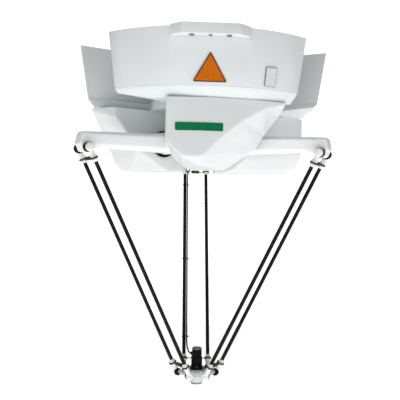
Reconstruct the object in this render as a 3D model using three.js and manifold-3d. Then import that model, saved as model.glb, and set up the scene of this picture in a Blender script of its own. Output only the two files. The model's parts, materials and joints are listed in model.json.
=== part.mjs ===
// Ceiling-hung three-arm parallel (delta) robot with a rotary tool axis.
// Millimetres, +Z up. The origin is on the robot's axis, in the plane of its three mounting feet,
// and everything hangs below it. An arm's or a lobe's own axes are X outward, Y to its left, Z up.
import * as THREE from 'three';
import { ConvexGeometry } from 'three/addons/geometries/ConvexGeometry.js';
import { mergeVertices } from 'three/addons/utils/BufferGeometryUtils.js';
import Module from 'manifold-3d';

const wasm = await Module();
wasm.setup();

// ---- driving dimensions -------------------------------------------------------------------
const GAP = 0.4; // clearance between touching pieces

const SHOULDER_R = 118; // shoulder axis, from the robot's axis
const SHOULDER_Z = -297;
const ELBOW_R = 416; // upper ball centres, at rest
const ELBOW_Z = -331;
const FOREARM = 800; // ball centre to ball centre
const TOOL_R = 48; // lower ball centres, from the robot's axis
const ROD_SPACING = 81; // between the two rods of one forearm
const ROD_RUN = ELBOW_R - TOOL_R;
const TOOL_Z = ELBOW_Z - Math.sqrt(FOREARM ** 2 - ROD_RUN ** 2);

const COVER_TOP = { mid: 390, half: 288, slot: 100 }; // outline of one lobe at its top
const COVER_FOOT = { mid: 360, half: 268, slot: 96 }; // and at the seam above the deck
const DECK_RIM = { mid: 352, half: 260, slot: 94 }; // lower edge of the deck's upright rim
const DECK_FOOT = { mid: 338, half: 248, slot: 92 };
const DECK_RIM_Z = -174;
const DECK_FOOT_END = -175; // the deck's underside rises from here to its right-hand end
const LOBE_STEPS = 16;
const COVER_BACK = 150; // the lobe's inner wall, from the robot's axis
const COVER_WALL = 6;
const SEAM_Z = -162;
const DECK_Z = -192;
const PLATE_T = 16;
const HUB_PLATE_R = 172; // the round middle of the deck and of the top plate
const COLUMN_R = 78;
const CABLE_BORE = 46; // blind, open below

const FOOT = { out: 414, in: 290, half: 80, root: 112, rootR: 384, depth: 30 };
const FOOT_HOLE = { r: 398, side: 52, sideR: 6.75, midR: 4.5 };

const HOUSING_WALL = 6;
const HOUSING_BOTTOM = -384;
const HOUSING_ARC = { x: -176, y: -23, r: 520 }; // the front face in plan
const HOUSING_LEFT = -119;
// the long flank's upper edge, as [across the front face, height], and its lower edge beside the
// right-hand arm, as [along the arm, height]
const FLANK_TOP = [[-10, -357], [40, -305], [101, -255], [170, -216], [232, -198]];
const FLANK_FOOT = [[126, -374], [212, -322], [243, -277], [288, -224], [308, -193]];
const ARM_SIDE = 47; // housing walls beside an arm, from the arm's middle plane
const HUB = { r: 35, half: 38 };
const SEAL = { r: 43, in: 33 };
const REDUCER = { r: 43, length: 84, neck: 31 };
const MOTOR = { half: 35, length: 118, capHalf: 30, cap: 24 };

const BALL_R = 9.6;
const SOCKET_BORE = 10.8;
const SOCKET_R = 14;
const BAR_R = 7;
const LUG_HALF = 24;
const ROD_R = 6;
const NECK_R = 8;
const NECK_END = 47.5; // from a ball centre to the end of the carbon tube
const SPRING_DROP = 35;
const SPRING_R = 5;
const LOWER_CUP_R = 12;
const LOWER_CUP_IN = 28.5;
const LOWER_CUP_OUT = 46;
const CABLE_R = 2.6; // tool motor's cable, tied along one back rod

const PLATE_THICK = 1.2;
const SIGN = { side: 96, y: 2, z: -112 };
const CARD = { half: 18, halfHigh: 27, y: 178, z: -128 };
const NAME_BAR = { low: [300, -92, -287], high: [360, 44, -264] }; // where it lies on the face

const FRONT = 270;
const RIGHT = 30;
const LEFT = 150;
const LOBES = { front: FRONT, right: RIGHT, left: LEFT };
const BACK = 90;
const ARMS = { left: 210, right: 330, back: BACK };

// ---- finishes -----------------------------------------------------------------------------
const finish = (color, roughness, metalness) =>
  new THREE.MeshStandardMaterial({ color, roughness, metalness });
const WHITE = finish(0xe4e7e8, 0.4, 0);
const CASTING = finish(0xdcdfe0, 0.5, 0);
const CARBON = finish(0x17181a, 0.35, 0);
const CREAM = finish(0xe8e6de, 0.5, 0);
const BLACK = finish(0x101113, 0.5, 0);
const STEEL = finish(0xb9bcc0, 0.3, 1);
const BRASS = finish(0x8f8458, 0.4, 1);
const ORANGE = finish(0xe8820c, 0.5, 0);
const GREEN = finish(0x0e6b46, 0.5, 0);
const PLATE = finish(0xe9ecee, 0.4, 0);

// ---- geometry helpers ---------------------------------------------------------------------
const DEG = Math.PI / 180;

function toSolid(geometry) {
  geometry.deleteAttribute('normal');
  geometry.deleteAttribute('uv');
  const merged = mergeVertices(geometry, 1e-4);
  return new wasm.Manifold(new wasm.Mesh({
    numProp: 3,
    vertProperties: new Float32Array(merged.attributes.position.array),
    triVerts: new Uint32Array(merged.index.array),
  }));
}

function toGeometry(solid) {
  const mesh = solid.getMesh();
  const geometry = new THREE.BufferGeometry();
  geometry.setAttribute('position', new THREE.BufferAttribute(mesh.vertProperties, 3));
  geometry.setIndex(new THREE.BufferAttribute(mesh.triVerts, 1));
  geometry.computeVertexNormals();
  return geometry;
}

// A block between two corners.
function block(low, high) {
  const size = high.map((v, i) => v - low[i]);
  const geometry = new THREE.BoxGeometry(...size);
  geometry.translate(...high.map((v, i) => (v + low[i]) / 2));
  return toSolid(geometry);
}

// A cylinder or cone from one point to another.
function rod(from, to, r0, r1 = r0, sides = 20) {
  const start = new THREE.Vector3(...from);
  const end = new THREE.Vector3(...to);
  const axis = end.clone().sub(start);
  const geometry = new THREE.CylinderGeometry(r1, r0, axis.length(), sides);
  const turn = new THREE.Quaternion().setFromUnitVectors(
    new THREE.Vector3(0, 1, 0), axis.clone().normalize());
  geometry.applyQuaternion(turn);
  geometry.translate(...start.add(end).multiplyScalar(0.5).toArray());
  return toSolid(geometry);
}

// A turned piece: [radius, height] pairs, stood on Z.
function turned(profile, sides = 24) {
  const points = profile.map(([r, h]) => new THREE.Vector2(r, h));
  const geometry = new THREE.LatheGeometry(points, sides);
  geometry.rotateX(Math.PI / 2);
  return toSolid(geometry);
}

// The same, laid along Y.
function turnedAlongY(profile, sides = 16) {
  const points = profile.map(([r, h]) => new THREE.Vector2(r, h));
  return toSolid(new THREE.LatheGeometry(points, sides));
}

function ball(centre, r, sides = 12) {
  const geometry = new THREE.SphereGeometry(r, sides, sides / 2);
  geometry.translate(...centre);
  return toSolid(geometry);
}

// The tightest convex body around some points.
function hull(points) {
  return toSolid(new ConvexGeometry(points.map((p) => new THREE.Vector3(...p))));
}

const join = (...solids) => solids.reduce((a, b) => a.add(b));

function piece(parent, name, solid, material) {
  const mesh = new THREE.Mesh(toGeometry(solid), material);
  mesh.name = name;
  parent.add(mesh);
  return mesh;
}

function turnedGroup(parent, azimuth) {
  const group = new THREE.Group();
  group.rotation.z = azimuth * DEG;
  parent.add(group);
  return group;
}

// ---- the lobed base -----------------------------------------------------------------------

// The radius of a lobe's outer arc, which runs through `mid` on the lobe's middle line.
function lobeArc({ mid, half, slot }) {
  const corner = (slot + half * 0.5) / Math.cos(30 * DEG);
  const rise = mid - corner;
  return (half ** 2 + rise ** 2) / (2 * rise);
}

// One lobe in plan at height z: its outer arc and two end walls parallel to the neighbouring arms,
// `slot` from their planes.
function lobeOutline(section, z, inset = 0, back = 0) {
  const { mid, half, slot } = section;
  const radius = lobeArc(section);
  const span = Math.asin(half / radius);
  const outline = [];
  for (let i = 0; i <= LOBE_STEPS; i += 1) {
    const angle = span * ((2 * i) / LOBE_STEPS - 1) * (1 - inset / half);
    const r = radius - inset;
    outline.push([mid - radius + r * Math.cos(angle), r * Math.sin(angle), z]);
  }
  const apex = (slot + inset) / Math.cos(30 * DEG);
  const inner = Math.max(back + inset, apex);
  const backHalf = (inner - apex) / Math.tan(30 * DEG);
  outline.push([inner, backHalf, z], [inner, -backHalf, z]);
  return outline;
}

function lobeBody(top, zTop, bottom, zBottom, inset = 0, back = 0) {
  return hull([
    ...lobeOutline(top, zTop, inset, back),
    ...lobeOutline(bottom, zBottom, inset, back),
  ]);
}

function footBody(grow = 0) {
  const { out, root, rootR, half, depth } = FOOT;
  const inner = FOOT.in - grow;
  const plan = (z) => [
    [inner, root + grow, z], [inner, -root - grow, z],
    [rootR, root + grow, z], [rootR, -root - grow, z],
    [out + grow, half + grow, z], [out + grow, -half - grow, z],
  ];
  return hull([...plan(grow ? 5 : 0), ...plan(-depth - grow)]);
}

function buildBase(root) {
  const plateTop = -GAP;
  let base = rod([0, 0, DECK_Z], [0, 0, 0], COLUMN_R, COLUMN_R, 24);
  base = base.add(rod([0, 0, DECK_Z], [0, 0, SEAM_Z - GAP], HUB_PLATE_R, HUB_PLATE_R, 36));
  base = base.add(rod([0, 0, -PLATE_T], [0, 0, 0], HUB_PLATE_R, HUB_PLATE_R, 36));
  for (const azimuth of Object.values(LOBES)) {
    const inset = COVER_WALL + 5;
    const deck = hull([
      ...lobeOutline(COVER_FOOT, SEAM_Z - GAP), ...lobeOutline(DECK_RIM, DECK_RIM_Z),
      ...lobeOutline(DECK_FOOT, DECK_Z).filter(([, y]) => y > DECK_FOOT_END)]);
    const top = lobeBody(COVER_TOP, plateTop, COVER_TOP, -PLATE_T, inset);
    const web = block([60, -8, SEAM_Z - 1], [280, 8, -PLATE_T + 1]);
    const rim = block([250, -90, SEAM_Z - 1], [266, 90, -PLATE_T + 1]);
    base = base.add(join(deck, top, web, rim).rotate([0, 0, azimuth]));
    base = base.subtract(footBody(GAP).rotate([0, 0, azimuth]));
  }
  base = base.subtract(rod([0, 0, DECK_Z - 5], [0, 0, -PLATE_T], CABLE_BORE, CABLE_BORE, 20));
  piece(root, 'base_frame', base, CASTING);
}

function buildLobe(root, side, azimuth) {
  const group = turnedGroup(root, azimuth);

  let foot = footBody();
  for (const y of [-FOOT_HOLE.side, 0, FOOT_HOLE.side]) {
    const r = y ? FOOT_HOLE.sideR : FOOT_HOLE.midR;
    foot = foot.subtract(rod([FOOT_HOLE.r, y, 5], [FOOT_HOLE.r, y, -FOOT.depth - 5], r, r, 16));
  }
  piece(group, `${side}_mounting_foot`, foot, WHITE);

  // the shell is open at its top, at its foot and towards the robot's axis
  const overshoot = 4;
  const cover = lobeBody(COVER_TOP, -1, COVER_FOOT, SEAM_Z, 0, COVER_BACK)
    .subtract(lobeBody(COVER_TOP, overshoot, COVER_FOOT, SEAM_Z - overshoot, COVER_WALL))
    .subtract(footBody(GAP));
  const clearance = rod([0, 0, -PLATE_T - 2], [0, 0, 5], HUB_PLATE_R + 3, HUB_PLATE_R + 3, 36);
  piece(group, `${side}_upper_cover`, cover.subtract(clearance.rotate([0, 0, -azimuth])), WHITE);
}

// ---- one drive: housing below a lobe, with the motor and reducer of the arm beside it -------

// A point beside the arm at this lobe's +60 degrees: `along` that arm, `side` from its plane.
const besideRight = (along, side, z) => [
  along * Math.cos(60 * DEG) + side * Math.sin(60 * DEG),
  along * Math.sin(60 * DEG) - side * Math.cos(60 * DEG), z];
const besideLeft = (along, side, z) => {
  const [x, y] = besideRight(along, side, z);
  return [x, -y, z];
};

// The housing's skin, moved inwards by `inset`: a convex body, and a scooped flank on its right.
function housingBody(inset) {
  const top = DECK_Z - GAP + (inset > 0 ? PLATE_T : 0);
  const low = HOUSING_BOTTOM + inset;
  const side = ARM_SIDE + inset;
  const left = HOUSING_LEFT + inset;
  const face = (y, z, back = 0) => [
    HOUSING_ARC.x + Math.sqrt((HOUSING_ARC.r - inset) ** 2 - (y - HOUSING_ARC.y) ** 2) - back, y, z];
  const raised = ([x, y]) => [x, y, top];
  const crest = FLANK_TOP.map(([y, z]) => face(y - inset, z + inset));
  const foot = FLANK_FOOT.map(([along, z]) => besideRight(along - inset, side, z + inset));
  const keel = [262 - inset, 20 - inset, low + 8];
  const heart = besideRight(30, side, top);

  const body = hull([
    face(left, top), face(left, -312), face(left + 22, -338 + inset), face(left + 45, -359 + inset),
    face(left + 30, top), face(left + 60, top), face(left + 60, -365 + inset, 5),
    face(-33, -377 + inset, 12), crest[0], raised(crest[0]), keel, foot[0], raised(foot[0]),
    // rear edge, beside the left-hand arm
    besideLeft(164 - inset, side, top), besideLeft(164 - inset, side, -300),
    besideLeft(136 - inset, side, -345), besideLeft(96 - inset, side, -375 + inset),
    besideLeft(62, side, low), heart, besideRight(40, side, low),
    // flat underside
    besideRight(106, side, low), [290 - inset, -26, low + 2]]);
  const flank = crest.slice(1).map((end, i) => {
    const edges = [crest[i], end, foot[i], foot[i + 1]];
    return hull([...edges, ...edges.map(raised), heart, ...(i ? [] : [keel])]);
  });
  return join(body, ...flank);
}

function buildHousing(root, side, azimuth) {
  const group = turnedGroup(root, azimuth);
  const bore = REDUCER.neck + 3;
  const hole = rod(
    besideRight(SHOULDER_R, ARM_SIDE - 10, SHOULDER_Z),
    besideRight(SHOULDER_R, ARM_SIDE + HOUSING_WALL + 10, SHOULDER_Z), bore, bore, 20);
  const shell = housingBody(0).subtract(housingBody(HOUSING_WALL)).subtract(hole);
  piece(group, `${side}_motor_housing`, shell, WHITE);
}

// In an arm's own frame the drive stands on its right, towards -Y.
function buildDrive(root, side, azimuth) {
  const group = turnedGroup(root, azimuth);
  const at = (y) => [SHOULDER_R, y, SHOULDER_Z];
  const face = -(ARM_SIDE + HOUSING_WALL + 1);
  const reducerEnd = face - REDUCER.length;

  const seal = rod(at(-HUB.half - GAP), at(-ARM_SIDE + GAP), SEAL.r, SEAL.r, 28)
    .subtract(rod(at(-HUB.half + 1), at(-ARM_SIDE - 1), SEAL.in, SEAL.in, 20));
  piece(group, `${side}_hub_seal`, seal, BLACK);

  const reducer = join(
    rod(at(-HUB.half - GAP), at(face - 1), REDUCER.neck, REDUCER.neck, 20),
    rod(at(face), at(reducerEnd + 26), REDUCER.r, REDUCER.r, 24),
    rod(at(reducerEnd + 27), at(reducerEnd), REDUCER.r - 6, REDUCER.r - 6, 24));
  piece(group, `${side}_gear_reducer`, reducer, STEEL);

  const motorFace = reducerEnd - GAP;
  const motorEnd = motorFace - MOTOR.length;
  const cube = (half, y0, y1) => block(
    [SHOULDER_R - half, y0, SHOULDER_Z - half], [SHOULDER_R + half, y1, SHOULDER_Z + half]);
  const motor = join(
    cube(MOTOR.half, motorEnd, motorFace),
    cube(MOTOR.capHalf, motorEnd - MOTOR.cap, motorEnd + 1),
    block([SHOULDER_R - 12, motorEnd + 16, SHOULDER_Z + MOTOR.half - 1],
      [SHOULDER_R + 12, motorEnd + 46, SHOULDER_Z + MOTOR.half + 16]));
  piece(group, `${side}_servo_motor`, motor, BLACK);
}

// ---- upper arm, elbow bar and forearm -------------------------------------------------------

function buildUpperArm(root, side, azimuth) {
  const group = turnedGroup(root, azimuth);
  const hub = rod(
    [SHOULDER_R, -HUB.half, SHOULDER_Z], [SHOULDER_R, HUB.half, SHOULDER_Z], HUB.r, HUB.r, 32);
  const section = (x, half, low, high, edge, lean = 0) => [
    [x, half, low + edge], [x, -half, low + edge], [x, half - edge, low], [x, edge - half, low],
    [x - lean, half, high - edge], [x - lean, -half, high - edge],
    [x - lean, half - edge, high], [x - lean, edge - half, high]];
  const root0 = section(SHOULDER_R + 14, 33, SHOULDER_Z - 33, SHOULDER_Z + 33, 10);
  const neck = section(SHOULDER_R + 78, 31, SHOULDER_Z - 31, SHOULDER_Z + 23, 10);
  const wrist = section(ELBOW_R - 34, 25, ELBOW_Z + 2, ELBOW_Z + 50, 9);
  const tip = section(ELBOW_R + 22, 22, ELBOW_Z + 8, ELBOW_Z + 47, 5, 7);
  const beam = join(hull([...root0, ...neck]), hull([...neck, ...wrist]), hull([...wrist, ...tip]));
  const lugRing = (x, z, r) => [0, 1, 2, 3, 4, 5, 6, 7].flatMap((i) => {
    const angle = i * 45 * DEG;
    const point = [x + r * Math.cos(angle), LUG_HALF, z + r * Math.sin(angle)];
    return [point, [point[0], -LUG_HALF, point[2]]];
  });
  const lug = hull([
    ...lugRing(ELBOW_R, ELBOW_Z, 14),
    [ELBOW_R - 30, 20, ELBOW_Z + 10], [ELBOW_R - 30, -20, ELBOW_Z + 10],
    [ELBOW_R + 20, 20, ELBOW_Z + 10], [ELBOW_R + 20, -20, ELBOW_Z + 10]]);
  const bore = rod([ELBOW_R, -60, ELBOW_Z], [ELBOW_R, 60, ELBOW_Z], BAR_R + 0.6, BAR_R + 0.6, 14);
  piece(group, `${side}_upper_arm`, join(hub, beam, lug).subtract(bore), WHITE);

  const half = ROD_SPACING / 2;
  const bar = join(
    rod([ELBOW_R, -half, ELBOW_Z], [ELBOW_R, half, ELBOW_Z], BAR_R, BAR_R, 14),
    ball([ELBOW_R, half, ELBOW_Z], BALL_R), ball([ELBOW_R, -half, ELBOW_Z], BALL_R));
  piece(group, `${side}_elbow_bar`, bar, STEEL);
}

function buildForearm(root, side, azimuth) {
  const group = turnedGroup(root, azimuth);
  const down = new THREE.Vector3(-ROD_RUN, 0, TOOL_Z - ELBOW_Z).normalize();
  const along = (y, distance) => [
    ELBOW_R + down.x * distance, y, ELBOW_Z + down.z * distance];
  const half = ROD_SPACING / 2;

  for (const [hand, sign] of [['right', -1], ['left', 1]]) {
    const y = sign * half;
    // the upper socket is a cup that holds its ball from outside
    const cup = turnedAlongY([
      [0, -6], [SOCKET_R - 2, -6], [SOCKET_R, -4], [SOCKET_R, 7], [SOCKET_R - 4, 12], [0, 12]]);
    const upper = cup.rotate([sign < 0 ? 180 : 0, 0, 0]).translate([ELBOW_R, y, ELBOW_Z]);
    const neck = join(
      rod(along(y, 8), along(y, NECK_END), NECK_R, NECK_R - 0.6, 12),
      rod(along(y, SPRING_DROP - 6), along(y, SPRING_DROP + 6), NECK_R + 1.6, NECK_R + 1.6, 12));
    const socket = join(upper, neck)
      .subtract(ball([ELBOW_R, y, ELBOW_Z], SOCKET_BORE, 12))
      .subtract(rod([ELBOW_R, y, ELBOW_Z], [ELBOW_R, y - sign * 30, ELBOW_Z],
        SOCKET_BORE - 1, SOCKET_BORE - 1, 12));
    piece(group, `${side}_upper_socket_${hand}`, socket, CREAM);

    piece(group, `${side}_carbon_rod_${hand}`,
      rod(along(y, NECK_END + GAP), along(y, FOREARM - NECK_END - GAP), ROD_R, ROD_R, 12), CARBON);

    // the lower socket keeps its own ball, and its flat inner face meets the tool head's bar
    const inner = sign * LOWER_CUP_IN;
    const step = (d) => inner + sign * d;
    const low = along(0, FOREARM);
    const lower = join(
      rod([low[0], inner, low[2]], [low[0], step(3), low[2]], LOWER_CUP_R - 1.5, LOWER_CUP_R, 16),
      rod([low[0], step(3), low[2]], [low[0], sign * (LOWER_CUP_OUT - 4), low[2]],
        LOWER_CUP_R, LOWER_CUP_R, 16),
      rod([low[0], sign * (LOWER_CUP_OUT - 4), low[2]], [low[0], sign * LOWER_CUP_OUT, low[2]],
        LOWER_CUP_R, LOWER_CUP_R - 4, 16),
      rod(along(y, FOREARM - 6), along(y, FOREARM - NECK_END), NECK_R - 1, NECK_R - 0.6, 12),
      rod(along(y, FOREARM - SPRING_DROP - 6), along(y, FOREARM - SPRING_DROP + 6),
        NECK_R + 1, NECK_R + 1, 12));
    piece(group, `${side}_lower_socket_${hand}`, lower, CREAM);
  }

  const reach = half - NECK_R - 3;
  for (const [level, distance] of [['upper', SPRING_DROP], ['lower', FOREARM - SPRING_DROP]]) {
    piece(group, `${side}_${level}_spring`,
      rod(along(-reach, distance), along(reach, distance), SPRING_R, SPRING_R, 8), BRASS);
  }
}

// The tool motor's cable: [distance down the forearm, across, inwards from the rods' plane].
const CABLE_ROUTE = [
  [19, 7, 0], [24, 14, 6], [32, 22, 12], [44, 28, 14], [58, 31, 10], [76, 31.2, 4],
  [110, 31.2, 0], [250, 31.2, 0], [400, 31.2, 0], [550, 31.2, 0], [680, 31.2, 0],
  [716, 30.6, 1], [738, 27, 6], [750, 21.5, 15], [754, 15.5, 25]];

// A point of the route, in the back arm's own axes.
function cablePoint([distance, y, inward]) {
  const down = new THREE.Vector3(-ROD_RUN, 0, TOOL_Z - ELBOW_Z).normalize();
  return new THREE.Vector3(ELBOW_R + down.x * distance + down.z * inward, y,
    ELBOW_Z + down.z * distance - down.x * inward);
}

function buildCable(root) {
  const group = turnedGroup(root, BACK);
  const points = CABLE_ROUTE.map(cablePoint);
  const section = new THREE.Shape();
  section.absarc(0, 0, CABLE_R, 0, 2 * Math.PI);
  const extrudePath = new THREE.CatmullRomCurve3(points, false, 'centripetal');
  const geometry = new THREE.ExtrudeGeometry(section, { steps: 50, curveSegments: 4, extrudePath });
  piece(group, 'tool_motor_cable', toSolid(geometry), BLACK);
}

// ---- moving tool head -----------------------------------------------------------------------
const HEAD = { r: 31, top: 9, waist: -13, bottomR: 21, bottom: -33 };
const TOOL_MOTOR = { r: 18, top: 73, capR: 16, cap: 7 };
const PLUG = { z: 46, r: 6, tipR: 3.4, body: 0.5, tip: 0.7 }; // body and tip: shares of its reach
const FLANGE = { r: 19, thick: 5, holesR: 13.5 };

function buildHead(root) {
  const group = new THREE.Group();
  group.position.z = TOOL_Z;
  root.add(group);

  let casting = turned([
    [0, HEAD.bottom], [HEAD.bottomR, HEAD.bottom], [HEAD.r, HEAD.waist],
    [HEAD.r, 2], [HEAD.r - 7, HEAD.top], [0, HEAD.top]]);
  for (const azimuth of Object.values(ARMS)) {
    const arm = hull([
      [10, -20, -18], [10, 20, -18], [10, -20, 7], [10, 20, 7],
      [TOOL_R, -17, -9], [TOOL_R, 17, -9], [TOOL_R, -17, 9], [TOOL_R, 17, 9],
      [TOOL_R + 8, -15, -4], [TOOL_R + 8, 15, -4], [TOOL_R + 8, -15, 5], [TOOL_R + 8, 15, 5]]);
    const end = LOWER_CUP_IN - 0.6;
    const bar = rod([TOOL_R, -end, 0], [TOOL_R, end, 0], BAR_R, BAR_R, 14);
    casting = casting.add(join(arm, bar).rotate([0, 0, azimuth]));
  }
  piece(group, 'tool_head_casting', casting, WHITE);

  const seat = HEAD.top + GAP;
  const { r, top, capR, cap } = TOOL_MOTOR;
  const motor = turned([
    [0, seat], [r + 5, seat], [r + 5, seat + 6], [r, seat + 12], [r, seat + 38], [capR, seat + 42],
    [capR, top], [0, top]]);
  // the plug points at the end of the cable, and stops short of it by more than the cable moves
  const [endX, endY, endZ] = cablePoint(CABLE_ROUTE.at(-1)).toArray();
  const from = [0, 0, PLUG.z];
  const reach = [endX, endY, endZ - TOOL_Z - PLUG.z];
  const towards = (share) => reach.map((v, i) => from[i] + v * share);
  const plug = join(
    rod(from, towards(PLUG.body), PLUG.r, PLUG.r, 12),
    rod(towards(PLUG.body - 0.01), towards(PLUG.tip), PLUG.r - 1.4, PLUG.tipR, 12));
  piece(group, 'rotary_motor', join(motor, plug.rotate([0, 0, BACK])), BLACK);
  piece(group, 'rotary_motor_cap', turned([
    [0, top + GAP], [capR, top + GAP], [capR, top + cap - 3], [capR - 3, top + cap],
    [0, top + cap]], 32), STEEL);

  const under = HEAD.bottom - GAP;
  let flange = turned([
    [0, under - FLANGE.thick], [FLANGE.r - 1, under - FLANGE.thick],
    [FLANGE.r, under - FLANGE.thick + 1], [FLANGE.r, under], [0, under]]);
  for (let i = 0; i < 4; i += 1) {
    const angle = (45 + 90 * i) * DEG;
    const [x, y] = [FLANGE.holesR * Math.cos(angle), FLANGE.holesR * Math.sin(angle)];
    flange = flange.subtract(rod([x, y, under - 9], [x, y, under + 1], 2.1, 2.1, 8));
  }
  piece(group, 'tool_flange', flange, STEEL);
}

// ---- small things on the covers -------------------------------------------------------------
function buildTrim(root) {
  const group = turnedGroup(root, FRONT);
  const slope = (COVER_TOP.mid - COVER_FOOT.mid) / -SEAM_Z;
  const lean = Math.atan(slope);
  const radius = lobeArc(COVER_TOP);

  // a plate on the front cover's outer wall, by its middle, upright and turned to the wall
  const onCover = (name, corners, { y, z }, material) => {
    const shape = new THREE.Shape(corners.map(([x, up]) => new THREE.Vector2(x, up)));
    const geometry = new THREE.ExtrudeGeometry(shape, { depth: PLATE_THICK, bevelEnabled: false });
    geometry.rotateX(Math.PI / 2);
    geometry.rotateZ(Math.PI / 2);
    const mesh = piece(group, name, toSolid(geometry), material);
    const wall = COVER_TOP.mid + slope * z;
    const sag = radius - Math.sqrt(radius ** 2 - y ** 2);
    mesh.rotation.set(0, lean, Math.asin(y / radius), 'ZYX');
    mesh.position.set(wall - sag + PLATE_THICK + GAP, y, z);
  };

  const halfSign = SIGN.side / 2;
  const high = SIGN.side * Math.sin(60 * DEG);
  onCover('sign_plate',
    [[-halfSign, -high / 2], [halfSign, -high / 2], [0, high / 2]], SIGN, ORANGE);
  const { half, halfHigh } = CARD;
  onCover('rating_plate',
    [[-half, -halfHigh], [half, -halfHigh], [half, halfHigh], [-half, halfHigh]], CARD, PLATE);

  const bar = housingBody(-GAP - PLATE_THICK).subtract(housingBody(-GAP))
    .intersect(block(NAME_BAR.low, NAME_BAR.high));
  piece(group, 'name_bar', bar, GREEN);
}

function buildInside(root) {
  const low = HOUSING_BOTTOM + 60;
  piece(root, 'centre_cap', turned([
    [0, low], [34, low], [42, low + 8], [42, DECK_Z - GAP], [0, DECK_Z - GAP]], 32), WHITE);
  const group = turnedGroup(root, BACK);
  const face = COLUMN_R + 12;
  const socket = (y) => rod([face - 1, y, -90], [face + 16, y, -90], 11, 11, 16);
  const panel = join(block([COLUMN_R - 6, -34, -118], [face, 34, -60]), socket(-16), socket(16));
  const column = rod([0, 0, -200], [0, 0, 0], COLUMN_R + GAP, COLUMN_R + GAP, 24);
  piece(group, 'connector_panel', panel.subtract(column.rotate([0, 0, -BACK])), STEEL);
}

// ---- assembly -------------------------------------------------------------------------------
const robot = new THREE.Group();
buildBase(robot);
for (const [side, azimuth] of Object.entries(LOBES)) {
  buildLobe(robot, side, azimuth);
  buildHousing(robot, side, azimuth);
}
for (const [side, azimuth] of Object.entries(ARMS)) {
  buildDrive(robot, side, azimuth);
  buildUpperArm(robot, side, azimuth);
  buildForearm(robot, side, azimuth);
}
buildCable(robot);
buildHead(robot);
buildTrim(robot);
buildInside(robot);

export default robot;
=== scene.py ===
"""Ceiling-hung three-arm parallel robot: its finished look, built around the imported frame.

Everything is in metres in the frame's own axes: the mounting plane is z = 0 and the robot hangs below it.
A lobe or an arm is modelled once with its outward direction along +X, then copied round the robot's axis.
"""

import json
import logging
import math
from contextlib import contextmanager
from dataclasses import dataclass
from enum import Enum
from typing import Callable, Iterator, Sequence

import bmesh
import bpy
from mathutils import Matrix, Vector


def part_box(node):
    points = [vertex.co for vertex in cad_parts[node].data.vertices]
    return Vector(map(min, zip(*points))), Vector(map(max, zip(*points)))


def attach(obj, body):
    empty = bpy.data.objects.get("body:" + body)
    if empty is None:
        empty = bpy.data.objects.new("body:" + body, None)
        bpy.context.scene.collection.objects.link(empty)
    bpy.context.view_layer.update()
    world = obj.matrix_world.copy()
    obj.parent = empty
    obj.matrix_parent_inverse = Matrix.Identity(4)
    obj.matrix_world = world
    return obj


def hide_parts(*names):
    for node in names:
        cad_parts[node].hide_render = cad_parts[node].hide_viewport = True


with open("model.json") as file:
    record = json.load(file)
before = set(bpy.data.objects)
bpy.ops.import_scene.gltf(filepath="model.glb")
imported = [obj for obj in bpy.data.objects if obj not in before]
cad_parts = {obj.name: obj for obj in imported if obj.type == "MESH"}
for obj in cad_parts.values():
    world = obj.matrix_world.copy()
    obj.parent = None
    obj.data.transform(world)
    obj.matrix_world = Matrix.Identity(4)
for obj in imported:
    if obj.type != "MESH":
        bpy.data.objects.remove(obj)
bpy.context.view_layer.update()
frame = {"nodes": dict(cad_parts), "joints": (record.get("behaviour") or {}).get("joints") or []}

LOG = logging.getLogger("delta_robot")
MM = 0.001
TAU = 2 * math.pi
Profile = Sequence[tuple[float, float]]
Piece = bpy.types.Object
Material = bpy.types.Material


class Lobe(Enum):
    """The base's three lobes, by the azimuth of their middle line in degrees."""

    FRONT = 270
    RIGHT = 30
    LEFT = 150

    @property
    def side(self) -> str:
        """The lobe's word in node names."""
        return self.name.lower()


class Arm(Enum):
    """The three arms, by azimuth in degrees."""

    LEFT = 210
    RIGHT = 330
    BACK = 90

    @property
    def side(self) -> str:
        """The arm's word in node and body names."""
        return self.name.lower()


class Hand(Enum):
    """The two rods of one forearm, by the sign of their place across it."""

    RIGHT = -1
    LEFT = 1

    @property
    def side(self) -> str:
        """The rod's word in node names."""
        return self.name.lower()


# ---- shaders --------------------------------------------------------------------------------


class Wire:
    """One value in a shader: a node's output socket, with arithmetic that adds Math nodes."""

    def __init__(self, graph: "Graph", socket: bpy.types.NodeSocket) -> None:
        """Wraps an output socket of a graph."""
        self.graph = graph
        self.socket = socket

    def _math(self, operation: str, *values: "Wire | float") -> "Wire":
        """Adds one Math node.

        Args:
            operation: the node's operation.
            values: its inputs, in order.

        Returns:
            The node's output.
        """
        return self.graph.add("ShaderNodeMath", {"operation": operation}, dict(enumerate(values)))

    def __add__(self, other: "Wire | float") -> "Wire":
        """Sum."""
        return self._math("ADD", self, other)

    def __radd__(self, other: float) -> "Wire":
        """Sum, from the right."""
        return self._math("ADD", other, self)

    def __sub__(self, other: "Wire | float") -> "Wire":
        """Difference."""
        return self._math("SUBTRACT", self, other)

    def __rsub__(self, other: float) -> "Wire":
        """Difference, from the right."""
        return self._math("SUBTRACT", other, self)

    def __mul__(self, other: "Wire | float") -> "Wire":
        """Product."""
        return self._math("MULTIPLY", self, other)

    def __rmul__(self, other: float) -> "Wire":
        """Product, from the right."""
        return self._math("MULTIPLY", other, self)

    def sine(self) -> "Wire":
        """Sine of the value."""
        return self._math("SINE", self)

    def clamped(self, low: float, high: float) -> "Wire":
        """The value mapped from low..high to 0..1 and held there."""
        return self.graph.add(
            "ShaderNodeMapRange", {"clamp": True}, {0: self, 1: low, 2: high, 3: 0.0, 4: 1.0})


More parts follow.
